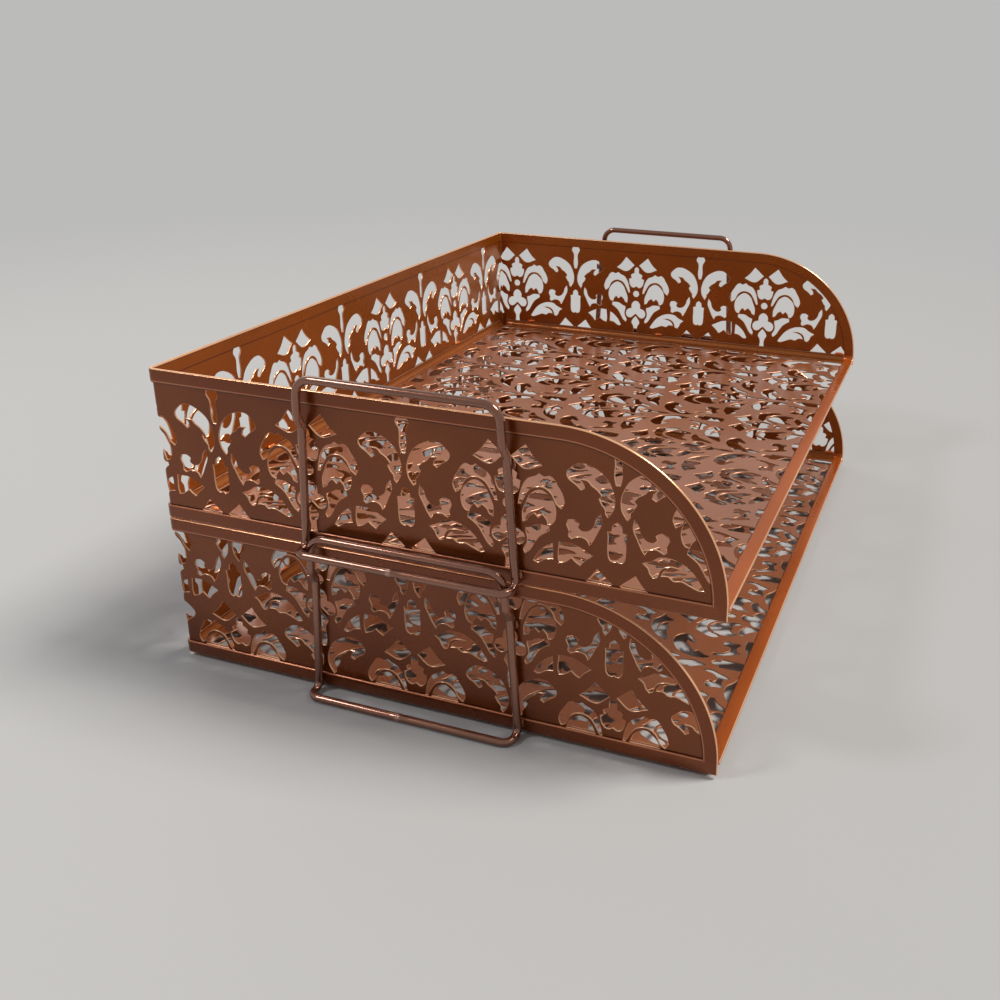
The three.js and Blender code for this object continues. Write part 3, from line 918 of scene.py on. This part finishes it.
def wire_paint():
    """Glossy paint on drawn wire: a slightly uneven tone, and a brighter ground patch at the butt weld."""
    made = Nodes("wire_copper")
    tone = made.span(made.noise(WIRE_TONE_SCALE), 0.35, 0.65)
    colour = made.mix(tone, srgb(140, 88, 64), srgb(124, 74, 50))
    flakes = made.span(made.noise(FLAKE_SCALE, detail=1), 0.6, 0.8, to_high=0.22)
    colour = made.mix(flakes, colour, srgb(226, 190, 170))
    mark = made.tree.nodes.new("ShaderNodeAttribute")
    mark.attribute_name = "weld"
    ground = made.span(mark.outputs["Fac"], 0.0, 0.8, to_high=0.55)
    colour = made.mix(ground, colour, srgb(214, 176, 160))
    made.link(colour, made.shader.inputs["Base Color"])
    made.shader.inputs["Metallic"].default_value = 0.85
    made.shader.inputs["Coat Weight"].default_value = 1.0
    made.shader.inputs["Coat IOR"].default_value = 1.58
    made.shader.inputs["Coat Roughness"].default_value = 0.08
    roughness = made.span(made.noise(WIRE_SMUDGE_SCALE), 0.3, 0.7, to_low=0.13, to_high=0.2)
    made.link(roughness, made.shader.inputs["Roughness"])
    grain = (made.noise(WIRE_GRAIN_SCALE), 0.05, 0.0001)
    ripple = (made.noise(WIRE_RIPPLE_SCALE), 0.08, 0.0005)
    made.bump(grain, ripple)
    return made.material


# Paints: body, shade and glint, then gloss
# The wall paint and the inner paint are a darker and a lighter copy of one copper paint: painted shade
# outside, painted light inside
SHADED_WALL_PAINT = copper_paint("wall_copper_painted_shade", (126, 60, 10), (110, 49, 6), (180, 112, 62), 0.27)
LIT_INNER_PAINT = copper_paint("inner_copper_painted_light", (168, 90, 14), (148, 76, 9), (226, 156, 86), 0.27)
# The pan paint is a lighter copy of the same copper paint, as painted light on the upward floor
LIT_PAN_PAINT = copper_paint("pan_copper_painted_light", (180, 106, 60), (160, 90, 46), (222, 160, 118), 0.3, coat=1.0)
# The edge paint is a darker copy of the strip paint, as painted shade to go with the darker outer walls
SHADED_EDGE_PAINT = copper_paint("edge_copper_painted_shade", (126, 58, 12), (110, 48, 8), (200, 124, 72), 0.24, edge_wear_and_highlight=0.3)
# The lip paint is a lighter, more orange copy of the strip paint, as painted light on the upward lip
LIT_LIP_PAINT = copper_paint("lip_copper_painted_light", (206, 104, 34), (186, 90, 24), (244, 164, 92), 0.28, coat=0.2)
# The pale nose paint is a painted highlight along the rounded edges of the strips and the lip
NOSE_HIGHLIGHT_PAINT = copper_paint("nose_painted_highlight", (250, 190, 142), (232, 166, 118), (255, 224, 192), 0.2)
# The line paint is a painted highlight along the strips' rounded ends
LINE_HIGHLIGHT_PAINT = copper_paint("line_painted_highlight", (196, 122, 84), (170, 98, 62), (240, 180, 140), 0.22)
# The pale cut edge paints are painted highlights along the openings' edges
CUT_HIGHLIGHT = copper_paint("cut_painted_highlight", (228, 176, 138), (198, 142, 104), (255, 220, 186), 0.26)
PAN_CUT_HIGHLIGHT = copper_paint("pan_cut_painted_highlight", (186, 132, 98), (150, 98, 66), (230, 180, 140), 0.38)
# The seam paint is painted shade along the strips' edges and on the rim's rounded end
SEAM_SHADE_PAINT = copper_paint("seam_painted_shade", (96, 46, 18), (78, 36, 14), (120, 70, 40), 0.4)
# The bright tack paint is a painted highlight on the flange tacks
TACK_HIGHLIGHT_PAINT = copper_paint("tack_painted_highlight", (252, 140, 58), (236, 116, 38), (255, 206, 150), 0.2, metallic=0.3)
BEAD_PAINT = copper_paint("bead_copper", (150, 88, 54), (120, 66, 38), (226, 176, 140), 0.22)
WIRE_PAINT = wire_paint()

for tray in TRAYS:
    wall_panel(tray)
    # The rim's rounded end is painted shade with a painted highlight line beside it; the skirt's rounded end
    # is a painted highlight
    edge_strip(f"{tray}_rim", tray, upper_edge, f"{tray}_rim_strip", (STRIP_SEAM_SHADE, STRIP_HIGHLIGHT_LINE))
    edge_strip(f"{tray}_skirt", tray, lower_edge, f"{tray}_skirt_strip", (STRIP_HIGHLIGHT_LINE, STRIP_FACE))
    floor_pan(tray)
    front_strip(tray)
    for side in SIDES:
        wire_loop(tray, side)
    welds(tray)

# Camera, in millimetres: the photograph's own viewpoint, with its picture centre as the lens shift
EYE = (-503.4, -189.7, 265.2)
AIM = (0.87477, 0.31447, -0.36863)
UPWARDS = (0.34222, 0.1376, 0.92949)
FOCAL_LENGTH = 38.78
SENSOR_WIDTH = 36
PICTURE_CENTRE = (591.75, 455.0)
PICTURE_SIZE = 1000


def make_camera():
    data = bpy.data.cameras.new("camera")
    data.sensor_width = SENSOR_WIDTH
    data.lens = FOCAL_LENGTH
    data.shift_x = 0.5 - PICTURE_CENTRE[0] / PICTURE_SIZE
    data.shift_y = PICTURE_CENTRE[1] / PICTURE_SIZE - 0.5
    data.clip_start = 0.01
    data.clip_end = 100
    camera = bpy.data.objects.new("camera", data)
    bpy.context.scene.collection.objects.link(camera)
    ahead, up = Vector(AIM).normalized(), Vector(UPWARDS)
    right = ahead.cross(up).normalized()
    up = right.cross(ahead)
    turned = Matrix((right, up, -ahead)).transposed().to_4x4()
    camera.matrix_world = Matrix.Translation(Vector(EYE) * MM) @ turned
    bpy.context.scene.camera = camera


def area_light(name, place, size, power, colour):
    """A round soft light at a place in metres, aimed at the tray."""
    data = bpy.data.lights.new(name, "AREA")
    data.shape = "DISK"
    data.size = size
    data.energy = power
    data.color = colour
    light = bpy.data.objects.new(name, data)
    light.location = place
    light.rotation_euler = (-Vector(place)).to_track_quat("-Z", "Y").to_euler()
    bpy.context.scene.collection.objects.link(light)


def sun_light(name, way, power, spread, colour):
    """A broad light that comes from one way, with its spread in degrees."""
    data = bpy.data.lights.new(name, "SUN")
    data.energy = power
    data.angle = math.radians(spread)
    data.color = colour
    light = bpy.data.objects.new(name, data)
    light.rotation_euler = (-Vector(way)).to_track_quat("-Z", "Y").to_euler()
    bpy.context.scene.collection.objects.link(light)


# Surroundings: one pale colour, and where the floor fades into it, in metres
BACKDROP = (0.5, 0.497, 0.493, 1)
WORLD_LIGHT = 0.45
FLOOR_HALF = 40
FADE_START = 0.45
FADE_END = 1.3


def seen_plainly(tree):
    """1 for what the camera or a mirror sees, 0 for light that falls on a surface."""
    path = tree.nodes.new("ShaderNodeLightPath")
    seen = tree.nodes.new("ShaderNodeMath")
    seen.operation = "MAXIMUM"
    tree.links.new(path.outputs["Is Camera Ray"], seen.inputs[0])
    tree.links.new(path.outputs["Is Glossy Ray"], seen.inputs[1])
    return seen.outputs["Value"]


def backdrop_floor():
    """A plain pale floor that keeps the shadow near the object and runs into the backdrop further off."""
    corners = [(x * FLOOR_HALF, y * FLOOR_HALF, 0) for x, y in ((-1, -1), (1, -1), (1, 1), (-1, 1))]
    mesh = bpy.data.meshes.new("studio_floor")
    mesh.from_pydata(corners, [], [(0, 1, 2, 3)])
    floor = bpy.data.objects.new("studio_floor", mesh)
    bpy.context.scene.collection.objects.link(floor)
    material = bpy.data.materials.new("studio_floor")
    material.use_nodes = True
    tree = material.node_tree
    shader = tree.nodes["Principled BSDF"]
    shader.inputs["Base Color"].default_value = BACKDROP
    shader.inputs["Roughness"].default_value = 0.9
    shader.inputs["Specular IOR Level"].default_value = 0.1
    place = tree.nodes.new("ShaderNodeTexCoord").outputs["Object"]
    distance = tree.nodes.new("ShaderNodeVectorMath")
    distance.operation = "LENGTH"
    tree.links.new(place, distance.inputs[0])
    far = tree.nodes.new("ShaderNodeMapRange")
    far.interpolation_type = "SMOOTHSTEP"
    far.inputs["From Min"].default_value = FADE_START
    far.inputs["From Max"].default_value = FADE_END
    tree.links.new(distance.outputs["Value"], far.inputs["Value"])
    share = tree.nodes.new("ShaderNodeMath")
    share.operation = "MULTIPLY"
    tree.links.new(far.outputs["Result"], share.inputs[0])
    tree.links.new(seen_plainly(tree), share.inputs[1])
    plain = tree.nodes.new("ShaderNodeEmission")
    plain.inputs["Color"].default_value = BACKDROP
    both = tree.nodes.new("ShaderNodeMixShader")
    tree.links.new(share.outputs["Value"], both.inputs[0])
    tree.links.new(shader.outputs["BSDF"], both.inputs[1])
    tree.links.new(plain.outputs["Emission"], both.inputs[2])
    tree.links.new(both.outputs["Shader"], tree.nodes["Material Output"].inputs["Surface"])
    mesh.materials.append(material)


def pale_world():
    """A pale surrounding, which metal mirrors as the camera sees it."""
    world = bpy.data.worlds.new("studio")
    world.use_nodes = True
    bpy.context.scene.world = world
    tree = world.node_tree
    background = tree.nodes["Background"]
    background.inputs["Color"].default_value = BACKDROP
    strength = tree.nodes.new("ShaderNodeMapRange")
    strength.inputs["To Min"].default_value = WORLD_LIGHT
    strength.inputs["To Max"].default_value = 1.0
    tree.links.new(seen_plainly(tree), strength.inputs["Value"])
    tree.links.new(strength.outputs["Result"], background.inputs["Strength"])


make_camera()
sun_light("key", way=(0.4, -1.0, 1.5), power=2.9, spread=22, colour=(1.0, 0.97, 0.93))
area_light("window", place=(-0.75, 0.85, 1.2), size=0.3, power=5, colour=(0.92, 0.95, 1.0))
area_light("back", place=(1.1, 1.5, 1.2), size=0.9, power=3, colour=(1.0, 0.96, 0.92))
backdrop_floor()
pale_world()
bpy.context.scene.view_settings.view_transform = "Standard"
